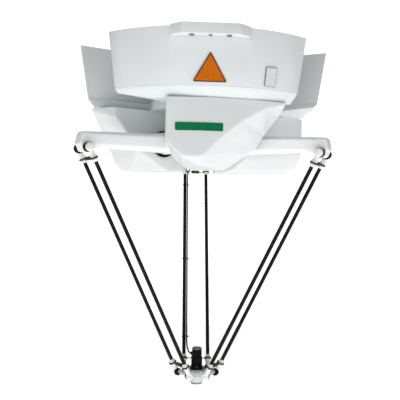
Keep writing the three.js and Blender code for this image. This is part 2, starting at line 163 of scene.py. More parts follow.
class Graph:
    """A material's node tree with its Principled shader."""

    def __init__(self, name: str) -> None:
        """Makes an empty material of that name with one Principled shader."""
        self.material = bpy.data.materials.new(name)
        self.material.use_nodes = True
        self.nodes = self.material.node_tree.nodes
        self.links = self.material.node_tree.links
        self.nodes.clear()
        self.shader = self.nodes.new("ShaderNodeBsdfPrincipled")
        output = self.nodes.new("ShaderNodeOutputMaterial")
        self.links.new(self.shader.outputs["BSDF"], output.inputs["Surface"])

    def add(self, kind: str, settings: dict, values: dict, output: int | str = 0) -> Wire:
        """Adds any node.

        Args:
            kind: the node's type name.
            settings: its properties, set before its sockets.
            values: numbers, colours or wires for its input sockets, by index or name.
            output: the output socket that is wanted.

        Returns:
            That output.
        """
        node = self.nodes.new(kind)
        for key, value in settings.items():
            setattr(node, key, value)
        for key, value in values.items():
            self._feed(node.inputs[key], value)
        return Wire(self, node.outputs[output])

    def _feed(self, socket: bpy.types.NodeSocket, value: "Wire | float | Sequence") -> None:
        """Links a wire to an input socket, or sets its constant."""
        if isinstance(value, Wire):
            self.links.new(value.socket, socket)
        else:
            socket.default_value = value

    def feed(self, name: str, value: "Wire | float | Sequence") -> None:
        """Gives one of the Principled shader's sockets its value."""
        self._feed(self.shader.inputs[name], value)

    def place(self) -> Wire:
        """Object coordinates."""
        return self.add("ShaderNodeTexCoord", {}, {}, "Object")

    def noise(self, scale: float, detail: float = 2.0, rough: float = 0.5) -> Wire:
        """Smooth noise, 0 to 1, of so many lumps to the metre."""
        return self.add("ShaderNodeTexNoise", {},
                        {"Vector": self.place(), "Scale": scale, "Detail": detail,
                         "Roughness": rough}, "Fac")

    def axes(self) -> tuple[Wire, Wire, Wire]:
        """X, Y and Z of the object coordinates."""
        split = self.nodes.new("ShaderNodeSeparateXYZ")
        self.links.new(self.place().socket, split.inputs[0])
        return tuple(Wire(self, split.outputs[i]) for i in range(3))

    def blend(self, amount: "Wire | float", first: Sequence, second: "Sequence | Wire") -> Wire:
        """Mixes two colours."""
        node = self.nodes.new("ShaderNodeMix")
        node.data_type = "RGBA"
        self._feed(node.inputs["Factor"], amount)
        for socket, value in ((node.inputs[6], first), (node.inputs[7], second)):
            self._feed(socket, value if isinstance(value, Wire) else (*value, 1.0))
        return Wire(self, node.outputs[2])

    def bump(self, height: Wire, strength: float, distance: float) -> None:
        """Feeds the shader's normal from a height."""
        self.feed("Normal", self.add(
            "ShaderNodeBump", {}, {"Height": height, "Strength": strength, "Distance": distance}))


@dataclass(frozen=True)
class Coloured:
    """A finish's name and the two colours that it drifts between."""

    name: str
    colour: tuple[float, float, float]
    shade: tuple[float, float, float]


@dataclass(frozen=True)
class Paint(Coloured):
    """Sprayed enamel: a fine orange peel, faint cloudiness and a clear top."""

    roughness: float = 0.38
    peel: float = 0.05

    def make(self) -> Material:
        """Builds the material."""
        g = Graph(self.name)
        cloud = g.noise(9.0, 3.0)
        specks = g.noise(420.0, 2.0)
        g.feed("Base Color", g.blend(cloud.clamped(0.35, 0.7), self.colour, self.shade))
        g.feed("Roughness", self.roughness + (specks - 0.5) * 0.10 + (cloud - 0.5) * 0.12)
        g.feed("Coat Weight", 0.25)
        g.feed("Coat Roughness", 0.22)
        g.bump(g.noise(650.0, 1.0) + specks * 0.4, self.peel, 0.0006)
        return g.material


@dataclass(frozen=True)
class CarbonTube:
    """Pultruded carbon tube under clear resin: a fine diagonal weave along the tube."""

    name: str = "carbon_tube"

    def make(self) -> Material:
        """Builds the material."""
        g = Graph(self.name)
        x, y, z = g.axes()
        warp = ((z * 4200.0) + (x * 2500.0)).sine()
        weft = ((z * 4200.0) - (y * 2500.0)).sine()
        weave = (warp * weft).clamped(-0.6, 0.6)
        g.feed("Base Color", g.blend(weave, (0.003, 0.003, 0.003), (0.007, 0.007, 0.008)))
        g.feed("Roughness", 0.48 + weave * 0.05 + (g.noise(60.0) - 0.5) * 0.1)
        g.feed("Specular IOR Level", 0.14)
        return g.material


@dataclass(frozen=True)
class Moulded(Coloured):
    """Injection-moulded plastic or rubber with a fine spark-eroded grain."""

    roughness: float = 0.5
    grain: float = 0.12
    gloss: float = 0.5

    def make(self) -> Material:
        """Builds the material."""
        g = Graph(self.name)
        grain = g.noise(1800.0, 2.0)
        g.feed("Base Color", g.blend(g.noise(45.0, 2.0).clamped(0.3, 0.7), self.colour, self.shade))
        g.feed("Roughness", self.roughness + (grain - 0.5) * 0.2)
        g.feed("Specular IOR Level", self.gloss)
        g.bump(grain, self.grain, 0.0003)
        return g.material


@dataclass(frozen=True)
class Metal(Coloured):
    """Machined metal: fine tool marks across Z and light handling stains."""

    roughness: float = 0.3
    marks: float = 0.08

    def make(self) -> Material:
        """Builds the material."""
        g = Graph(self.name)
        z = g.axes()[2]
        lines = (z * 9000.0 + g.noise(30.0) * 6.0).sine().clamped(-1.0, 1.0)
        stain = g.noise(70.0, 4.0).clamped(0.4, 0.75)
        g.feed("Base Color", g.blend(stain, self.colour, self.shade))
        g.feed("Metallic", 1.0)
        g.feed("Roughness", self.roughness + stain * 0.12 + lines * 0.05)
        g.bump(lines, self.marks, 0.0002)
        return g.material


@dataclass(frozen=True)
class PrintedFilm(Coloured):
    """A printed adhesive label: flat colour, faint print mottle and a satin face."""

    def make(self) -> Material:
        """Builds the material."""
        g = Graph(self.name)
        mottle = g.noise(140.0, 3.0)
        g.feed("Base Color", g.blend(mottle.clamped(0.35, 0.65), self.colour, self.shade))
        g.feed("Roughness", 0.4 + (mottle - 0.5) * 0.2)
        g.feed("Specular IOR Level", 0.15)
        g.bump(g.noise(500.0), 0.05, 0.0002)
        return g.material


@dataclass(frozen=True)
class Finishes:
    """Every finish on the robot, made once."""

    enamel: Material
    arm: Material
    casting: Material
    head: Material
    socket: Material
    carbon: Material
    rubber: Material
    black: Material
    steel: Material
    gunmetal: Material
    spring: Material
    orange: Material
    ink: Material
    label: Material
    green: Material

    @classmethod
    def mixed(cls) -> "Finishes":
        """Makes the set."""
        return cls(
            enamel=Paint("white_enamel", (0.775, 0.80, 0.80), (0.735, 0.76, 0.765)).make(),
            arm=Paint("arm_enamel", (0.90, 0.92, 0.92), (0.86, 0.885, 0.89)).make(),
            casting=Paint("deck_enamel", (0.78, 0.815, 0.82), (0.73, 0.77, 0.78), 0.42).make(),
            # Painted shade: the head's grey is darker than its own pale silver, to stand in for the shade
            # that falls on the head.
            head=Paint("head_enamel", (0.56, 0.575, 0.58), (0.48, 0.495, 0.50), 0.42, 0.0).make(),
            socket=Moulded("socket_plastic", (0.84, 0.84, 0.81), (0.77, 0.76, 0.72), 0.42).make(),
            carbon=CarbonTube().make(),
            rubber=Moulded("black_rubber", (0.003, 0.003, 0.003), (0.006, 0.006, 0.006),
                           0.6, gloss=0.1).make(),
            black=Moulded("black_anodised", (0.002, 0.002, 0.002), (0.005, 0.005, 0.005),
                          0.45, 0.06, gloss=0.12).make(),
            steel=Metal("bright_steel", (0.66, 0.67, 0.68), (0.5, 0.51, 0.53), 0.26).make(),
            gunmetal=Metal("gunmetal", (0.24, 0.24, 0.25), (0.17, 0.17, 0.18), 0.4).make(),
            spring=Metal("spring_steel", (0.11, 0.098, 0.055), (0.05, 0.045, 0.025), 0.45).make(),
            orange=PrintedFilm("orange_film", (0.62, 0.15, 0.0), (0.54, 0.12, 0.0)).make(),
            ink=PrintedFilm("dark_ink", (0.035, 0.018, 0.008), (0.05, 0.028, 0.012)).make(),
            label=PrintedFilm("silver_film", (0.74, 0.78, 0.79), (0.66, 0.70, 0.72)).make(),
            green=PrintedFilm("green_film", (0.0, 0.15, 0.055), (0.0, 0.19, 0.07)).make(),
        )


# ---- the bench ------------------------------------------------------------------------------


class Bench:
    """The modelling operations that the pieces share."""

    @staticmethod
    def deselect() -> None:
        """Leaves nothing selected and object mode on."""
        if bpy.context.object and bpy.context.object.mode != "OBJECT":
            bpy.ops.object.mode_set(mode="OBJECT")
        for other in bpy.context.selected_objects:
            other.select_set(False)

    @classmethod
    def take(cls, *objects: Piece) -> Piece:
        """Selects only these objects and makes the first one active."""
        cls.deselect()
        for item in objects:
            item.select_set(True)
        bpy.context.view_layer.objects.active = objects[0]
        return objects[0]

    @classmethod
    @contextmanager
    def editing(cls, item: Piece, mode: str = "FACE") -> Iterator[bmesh.types.BMesh]:
        """Opens a mesh in edit mode with nothing selected."""
        cls.take(item)
        bpy.ops.object.mode_set(mode="EDIT")
        bpy.ops.mesh.select_mode(type=mode)
        bpy.ops.mesh.select_all(action="DESELECT")
        yield bmesh.from_edit_mesh(item.data)
        bpy.ops.object.mode_set(mode="OBJECT")

    @classmethod
    def pick(cls, item: Piece, wanted: Callable, kind: str = "faces") -> None:
        """Selects the open mesh's faces, edges or verts that a test accepts."""
        mesh = bmesh.from_edit_mesh(item.data)
        bpy.ops.mesh.select_all(action="DESELECT")
        for element in getattr(mesh, kind):
            element.select_set(bool(wanted(element)))
        mesh.select_flush_mode()
        bmesh.update_edit_mesh(item.data)

    @classmethod
    def named(cls, name: str) -> Piece:
        """Names the active object and its mesh."""
        item = bpy.context.object
        item.name = name
        item.data.name = name
        return item

    @classmethod
    def block(cls, name: str, low: Sequence[float], high: Sequence[float]) -> Piece:
        """A block between two corners, its place in its mesh."""
        cls.deselect()
        low, high = Vector(low), Vector(high)
        bpy.ops.mesh.primitive_cube_add(size=1, location=(low + high) / 2)
        bpy.context.object.scale = high - low
        cls.settle(bpy.context.object)
        return cls.named(name)

    @classmethod
    def bar(cls, name: str, start: Sequence[float], end: Sequence[float], radius: float,
            sides: int = 32) -> Piece:
        """A round bar from one point to another."""
        cls.deselect()
        start, end = Vector(start), Vector(end)
        bpy.ops.mesh.primitive_cylinder_add(
            vertices=sides, radius=radius, depth=(end - start).length)
        item = cls.named(name)
        cls.stand(item, (start + end) / 2, end - start)
        return item

    @classmethod
    def turned(cls, name: str, profile: Profile, sides: int = 32) -> Piece:
        """A turned body on Z: a filled circle, extruded and scaled from step to step.

        Args:
            name: the object's name.
            profile: radius and height of each step.
            sides: faces round it.

        Returns:
            The closed body.
        """
        cls.deselect()
        radius, height = profile[0]
        bpy.ops.mesh.primitive_circle_add(
            vertices=sides, radius=radius, fill_type="NGON", location=(0, 0, height))
        item = cls.named(name)
        cls.settle(item)
        with cls.editing(item):
            bpy.ops.mesh.select_all(action="SELECT")
            for wide, high in profile[1:]:
                bpy.ops.mesh.extrude_region_move(
                    TRANSFORM_OT_translate={"value": (0, 0, high - height)})
                bpy.ops.transform.resize(
                    value=(wide / radius, wide / radius, 1), center_override=(0, 0, high))
                radius, height = wide, high
            bpy.ops.mesh.select_all(action="SELECT")
            bpy.ops.mesh.remove_doubles(threshold=1e-6)
            bpy.ops.mesh.normals_make_consistent(inside=False)
        return item

    @classmethod
    def settle(cls, item: Piece) -> Piece:
        """Applies an object's place, turn and scale to its mesh."""
        cls.take(item)
        bpy.ops.object.transform_apply(location=True, rotation=True, scale=True)
        return item

    @classmethod
    def stand(cls, item: Piece, origin: Sequence[float],
              axis: Sequence[float]) -> Piece:
        """Moves a body that stands on Z so that it stands at origin along axis."""
        item.location = origin
        item.rotation_mode = "QUATERNION"
        item.rotation_quaternion = Vector((0, 0, 1)).rotation_difference(Vector(axis))
        return cls.settle(item)

    @classmethod
    def swing(cls, item: Piece, degrees: float) -> Piece:
        """Turns a body round the robot's axis."""
        item.rotation_mode = "XYZ"
        item.rotation_euler = (0, 0, math.radians(degrees))
        return cls.settle(item)

    @classmethod
    def copy(cls, item: Piece, name: str) -> Piece:
        """A copy with its own mesh."""
        cls.take(item)
        bpy.ops.object.duplicate(linked=False)
        return cls.named(name)

    @classmethod
    def from_node(cls, node: str, name: str) -> Piece:
        """A merged copy of a frame node, free of the frame."""
        source = frame["nodes"][node]
        item = bpy.data.objects.new(name, source.data.copy())
        bpy.context.scene.collection.objects.link(item)
        item.data.materials.clear()
        item.data.name = name
        with cls.editing(item):
            bpy.ops.mesh.select_all(action="SELECT")
            bpy.ops.mesh.remove_doubles(threshold=1e-5)
            bpy.ops.mesh.dissolve_limited(angle_limit=math.radians(0.5))
            bpy.ops.mesh.normals_make_consistent(inside=False)
        return item

    @classmethod
    def join(cls, *items: Piece) -> Piece:
        """Joins objects into the first one."""
        cls.take(*items)
        bpy.ops.object.join()
        return items[0]

    @classmethod
    def modify(cls, item: Piece, kind: str, **settings: object) -> Piece:
        """Adds a modifier, sets it and applies it."""
        cls.take(item)
        bpy.ops.object.modifier_add(type=kind)
        modifier = item.modifiers[-1]
        for key, value in settings.items():
            setattr(modifier, key, value)
        bpy.ops.object.modifier_apply(modifier=modifier.name)
        return item

    @classmethod
    def bevel(cls, item: Piece, width: float, segments: int = 3,
              angle: float = 30) -> Piece:
        """Rounds every edge sharper than an angle."""
        return cls.modify(item, "BEVEL", width=width, segments=segments, limit_method="ANGLE",
                          angle_limit=math.radians(angle), use_clamp_overlap=True)

    @classmethod
    def rounded(cls, node: str, name: str, width: float, segments: int, angle: float,
                smooth: float = 35) -> Piece:
        """A frame node's copy with its edges rounded.

        Args:
            node: the node's name.
            name: the copy's name.
            width: the rounding's width.
            segments: faces across it.
            angle: edges sharper than this, in degrees, are rounded.
            smooth: edges flatter than this, in degrees, are shaded smooth.

        Returns:
            The copy.
        """
        return cls.smooth(cls.bevel(cls.from_node(node, name), width, segments, angle), smooth)

    @classmethod
    def cut(cls, item: Piece, tool: Piece) -> Piece:
        """Cuts a tool body out of an object and throws the tool away."""
        cls.modify(item, "BOOLEAN", operation="DIFFERENCE", solver="EXACT", object=tool)
        bpy.data.objects.remove(tool)
        return item

    @classmethod
    def slice(cls, item: Piece, point: Vector, outward: Vector) -> None:
        """Cuts away what lies outside a plane and leaves the cut open."""
        with cls.editing(item):
            bpy.ops.mesh.select_all(action="SELECT")
            bpy.ops.mesh.bisect(plane_co=point, plane_no=outward, use_fill=False,
                                clear_outer=True, clear_inner=False)

    @classmethod
    def melt(cls, item: Piece, voxel: float, rounds: int) -> Piece:
        """Fuses a body's overlapping parts into one skin and softens its edges."""
        cls.modify(item, "REMESH", mode="VOXEL", voxel_size=voxel)
        return cls.modify(item, "SMOOTH", factor=0.5, iterations=rounds)

    @classmethod
    def smooth(cls, item: Piece, degrees: float = 30) -> Piece:
        """Shades smooth across edges flatter than an angle."""
        cls.take(item)
        bpy.ops.object.shade_smooth_by_angle(angle=math.radians(degrees))
        return item

    @classmethod
    def dress(cls, item: Piece, material: Material, body: str, slot: str,
              *nodes: str) -> Piece:
        """Gives a finished piece its material and body, and hides the nodes that it stands for."""
        item.data.materials.clear()
        item.data.materials.append(material)
        for polygon in item.data.polygons:
            polygon.material_index = 0
        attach(item, body)
        if nodes:
            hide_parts(*nodes)
        LOG.info("%s: %d faces on %s", item.name, len(item.data.polygons), body)
        return item


def turn_z(point: Vector, degrees: float) -> Vector:
    """A point turned round the robot's axis."""
    return Matrix.Rotation(math.radians(degrees), 3, "Z") @ point


def socket_screw(name: str, head: float) -> Piece:
    """A cap screw's head on Z with a hexagon socket.

    Args:
        name: the object's name.
        head: the head's diameter.

    Returns:
        The head, its seat at z = 0.
    """
    half, high = head / 2, head * 0.6
    item = Bench.turned(name, [(half, 0), (half, high * 0.85), (half * 0.86, high)], 20)
    socket = Bench.turned("hex", [(half * 0.5, high * 0.35), (half * 0.5, high * 1.2)], 6)
    return Bench.smooth(Bench.cut(item, socket), 35)


def scatter(name: str, source: Piece, places: Sequence[tuple[Vector, Vector]]
            ) -> Piece:
    """Copies a small part to places and joins the copies.

    Args:
        name: the joined object's name.
        source: the part, standing on Z; it is used up.
        places: seat and axis of each copy.

    Returns:
        The joined object.
    """
    copies = [Bench.stand(Bench.copy(source, f"{name}_{i}"), seat, axis)
              for i, (seat, axis) in enumerate(places)]
    bpy.data.objects.remove(source)
    item = Bench.join(*copies)
    item.name = name
    return item


# ---- the base -------------------------------------------------------------------------------


def place_on_lobes(shape: Piece, part: str, node: str, finish: Finishes) -> None:
    """Copies an enamelled shape to the three lobes and uses the shape up.

    Args:
        shape: the shape, with its outward direction along +X.
        part: the copies' name, after the lobe's word.
        node: the replaced nodes' name, after the lobe's word.
        finish: the robot's finishes.
    """
    for lobe in Lobe:
        item = Bench.swing(Bench.copy(shape, f"{lobe.side}_{part}"), lobe.value)
        Bench.dress(item, finish.enamel, "base", "body_paint", f"{lobe.side}_{node}")
    bpy.data.objects.remove(shape)


@dataclass
class UpperCovers:
    """The three flared covers, each with softly rolled edges."""

    edge: float = 1.4 * MM

    def build(self) -> Piece:
        """Rounds one cover with its outward direction along +X."""
        item = Bench.from_node("front_upper_cover", "cover")
        Bench.swing(item, -Lobe.FRONT.value)
        Bench.bevel(item, self.edge, 3, 35)
        return Bench.smooth(item, 30)


@dataclass
class BaseCasting:
    """The deck under the covers with its bright rim, the top plate, column and feet."""

    edge: float = 3 * MM
    foot_edge: float = 2.5 * MM
    bolt_reach: float = 398 * MM
    bolt_side: float = 52 * MM
    bolt_radius: float = 7.6 * MM
    pin_radius: float = 5 * MM
    bolt_high: float = 3 * MM

    def build(self, finish: Finishes) -> None:
        """Rounds the frame's casting and feet."""
        deck = Bench.rounded("base_frame", "base_casting", self.edge, 3, 32, 32)
        Bench.dress(deck, finish.casting, "base", "casting", "base_frame")
        for lobe in Lobe:
            node = f"{lobe.side}_mounting_foot"
            foot = Bench.rounded(node, f"{lobe.side}_foot_block", self.foot_edge, 3, 40)
            Bench.dress(foot, finish.enamel, "base", "body_paint", node)
            self._bolts(lobe, finish)
        cap = Bench.rounded("centre_cap", "underside_cap", 2 * MM, 3, 25)
        Bench.dress(cap, finish.enamel, "base", "body_paint", "centre_cap")

    def _bolts(self, lobe: Lobe, finish: Finishes) -> None:
        """The heads of a foot's two bolts and its middle pin, against the foot's underside."""
        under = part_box(f"{lobe.side}_mounting_foot")[0].z
        heads = []
        for side in (-1, 0, 1):
            r = self.bolt_radius if side else self.pin_radius
            place = Vector((self.bolt_reach, side * self.bolt_side, under))
            head = Bench.turned("head", [
                (r - MM, -self.bolt_high), (r, MM - self.bolt_high), (r, 0.2 * MM)], 6 if side else 20)
            heads.append(Bench.stand(head, place, Vector((0, 0, 1))))
        bolts = Bench.swing(Bench.join(*heads), lobe.value)
        bolts.name = f"{lobe.side}_foot_bolts"
        Bench.dress(Bench.smooth(bolts, 30), finish.gunmetal, "base", "steel")


@dataclass
class MotorHousings:
    """The moulded housings below the deck: one soft-edged shape, copied to each lobe."""

    wall: float = 4.5 * MM
    voxel: float = 3.2 * MM
    rounds: int = 9
    collar: float = 40 * MM
    hub_bore: float = 36 * MM
    hub_reach: float = 50 * MM

    def build(self) -> Piece:
        """Models one housing with its outward direction along +X."""
        item = Bench.from_node("front_motor_housing", "housing")
        Bench.swing(item, -Lobe.FRONT.value)
        top = max(v.co.z for v in item.data.vertices)
        self._keep_skin(item, top)
        with Bench.editing(item, "VERT"):
            Bench.pick(item, lambda v: v.co.z > top - MM, "verts")
            bpy.ops.transform.translate(value=(0, 0, self.collar))
        Bench.melt(item, self.voxel, self.rounds)
        Bench.slice(item, Vector((0, 0, top)), Vector((0, 0, 1)))
        Bench.modify(item, "SOLIDIFY", thickness=self.wall, offset=-1)
        Bench.cut(item, self._hub_tool())
        return Bench.smooth(item, 40)

    def _keep_skin(self, item: Piece, top: float) -> None:
        """Keeps the outer skin alone and closes it over the top and the hub opening."""
        corners = [v.co for v in item.data.vertices]
        middle = sum(corners, Vector()) / len(corners)
        shoulder = turn_z(shoulder_of(Arm.RIGHT), -Lobe.FRONT.value)
        across = turn_z(Vector((0, 1, 0)), Arm.RIGHT.value - Lobe.FRONT.value)
        with Bench.editing(item):
            Bench.pick(item, lambda f: not self._is_outer(f, middle, top, shoulder, across))
            bpy.ops.mesh.delete(type="FACE")
            bpy.ops.mesh.select_all(action="SELECT")
            bpy.ops.mesh.fill_holes(sides=0)
            bpy.ops.mesh.normals_make_consistent(inside=False)

    def _is_outer(self, face: bmesh.types.BMFace, middle: Vector, top: float,
                  shoulder: Vector, across: Vector) -> bool:
        """Whether a face is on the outer skin: not the rim, the inside or the hub opening."""
        centre = face.calc_center_median()
        from_axis = (centre - shoulder).cross(across).length
        if face.normal.z > 0.9 and centre.z > top - MM:
            return False
        if abs(face.normal.dot(across)) < 0.2 and from_axis < self.hub_reach:
            return False
        return (centre - middle).dot(face.normal) > 0

    def _hub_tool(self) -> Piece:
        """The round opening for the reducer's neck, beside the right-hand arm."""
        shoulder = shoulder_of(Arm.RIGHT)
        across = turn_z(Vector((0, 1, 0)), Arm.RIGHT.value)
        start = turn_z(shoulder - across * 30 * MM, -Lobe.FRONT.value)
        end = turn_z(shoulder - across * 75 * MM, -Lobe.FRONT.value)
        return Bench.bar("hub_space", start, end, self.hub_bore, 48)


def joint_of(name: str) -> dict:
    """The record's joint of that name."""
    return next(j for j in frame["joints"] if j["name"] == name)


def shoulder_of(arm: Arm) -> Vector:
    """A shoulder's centre."""
    return Vector(joint_of(f"{arm.side}_arm_swing")["pos_m"])


def elbow_of(arm: Arm) -> Vector:
    """An elbow's centre."""
    return Vector(joint_of(f"{arm.side}_elbow")["pos_m"])


# ---- the arms -------------------------------------------------------------------------------


@dataclass
class UpperArms:
    """The three swinging arms, each with its hub, tapered beam and elbow lug."""

    voxel: float = 2.4 * MM
    rounds: int = 10
    cap_radius: float = 27 * MM
    cap_high: float = 3 * MM
    hub_half: float = 38 * MM
    screws: int = 6
    screw_head: float = 5.5 * MM

    def build(self) -> Piece:
        """Models one arm with its outward direction along +X."""
        item = Bench.from_node("back_upper_arm", "arm")
        Bench.swing(item, -Arm.BACK.value)
        Bench.bevel(item, 2.5 * MM, 2, 28)
        Bench.melt(item, self.voxel, self.rounds)
        return Bench.smooth(item, 40)

    def dress(self, arm_body: Piece, finish: Finishes) -> None:
        """Places the arms with their hub caps, bars, seats and seals."""
        for arm in Arm:
            body = f"{arm.side}_arm"
            item = Bench.swing(Bench.copy(arm_body, f"{arm.side}_arm_casting"), arm.value)
            Bench.dress(item, finish.arm, body, "body_paint", f"{arm.side}_upper_arm")
            self._hub_cap(arm, body, finish)
            self._elbow(arm, body, finish)
            self._seal(arm, finish)
        bpy.data.objects.remove(arm_body)

    def _hub_cap(self, arm: Arm, body: str, finish: Finishes) -> None:
        """The round cap and its screws on the hub's free side."""
        across = turn_z(Vector((0, 1, 0)), arm.value)
        seat = shoulder_of(arm) + across * self.hub_half
        r, h = self.cap_radius, self.cap_high
        cap = Bench.turned(f"{arm.side}_hub_cap", [
            (r, -MM), (r, h - MM), (r - MM, h), (r - 9 * MM, h), (r - 10 * MM, h - 1.2 * MM),
            (4 * MM, h - 1.2 * MM)], 48)
        Bench.dress(Bench.smooth(Bench.stand(cap, seat, across), 30), finish.casting, body,
                    "body_paint")
        ring = r - 5 * MM
        radial = turn_z(Vector((1, 0, 0)), arm.value)
        places = []
        for i in range(self.screws):
            angle = TAU * (i + 0.5) / self.screws
            spot = seat + across * (h - 0.4 * MM)
            spot = spot + radial * ring * math.cos(angle) + Vector((0, 0, ring * math.sin(angle)))
            places.append((spot, across))
        screws = scatter(f"{arm.side}_hub_screws", socket_screw("screw", self.screw_head), places)
        Bench.dress(screws, finish.steel, body, "steel")

    def _elbow(self, arm: Arm, body: str, finish: Finishes) -> None:
        """The elbow's bar with its balls, and the black seats beside the lug."""
        across = turn_z(Vector((0, 1, 0)), arm.value)
        elbow = elbow_of(arm)
        half = rod_offset()
        profile = [(2 * MM, -half - 9 * MM)]
        profile += [(9.5 * MM * math.sin(a), -half - 9.5 * MM * math.cos(a))
                    for a in (k * math.pi / 10 for k in range(1, 8))]
        profile += [(7 * MM, -half + 11 * MM)]
        mirror = [(r, -h) for r, h in reversed(profile)]
        bar = Bench.turned(f"{arm.side}_ball_bar", profile + mirror, 28)
        Bench.dress(Bench.smooth(Bench.stand(bar, elbow, across), 35), finish.steel, body,
                    "steel", f"{arm.side}_elbow_bar")
        for hand in Hand:
            seat = Bench.turned(f"{arm.side}_elbow_seat_{hand.side}", [
                (8.5 * MM, 24.4 * MM), (10.5 * MM, 25.4 * MM), (11 * MM, 28 * MM),
                (13 * MM, 29.6 * MM), (13.2 * MM, 33.4 * MM), (12.4 * MM, 34.3 * MM)], 32)
            Bench.stand(seat, elbow, across * hand.value)
            Bench.dress(Bench.smooth(seat, 30), finish.rubber, body, "seal")

    @staticmethod
    def _seal(arm: Arm, finish: Finishes) -> None:
        """The lipped ring seal between the hub and the housing."""
        seal = Bench.rounded(f"{arm.side}_hub_seal", f"{arm.side}_lip_seal", 1.2 * MM, 3, 40)
        Bench.dress(seal, finish.rubber, "base", "seal", f"{arm.side}_hub_seal")


def rod_offset() -> float:
    """Half the spacing between a forearm's rods, from the back forearm's nodes."""
    spots = [sum(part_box(f"back_carbon_rod_{hand.side}"), Vector()).x / 2 for hand in Hand]
    return abs(spots[0] - spots[1]) / 2


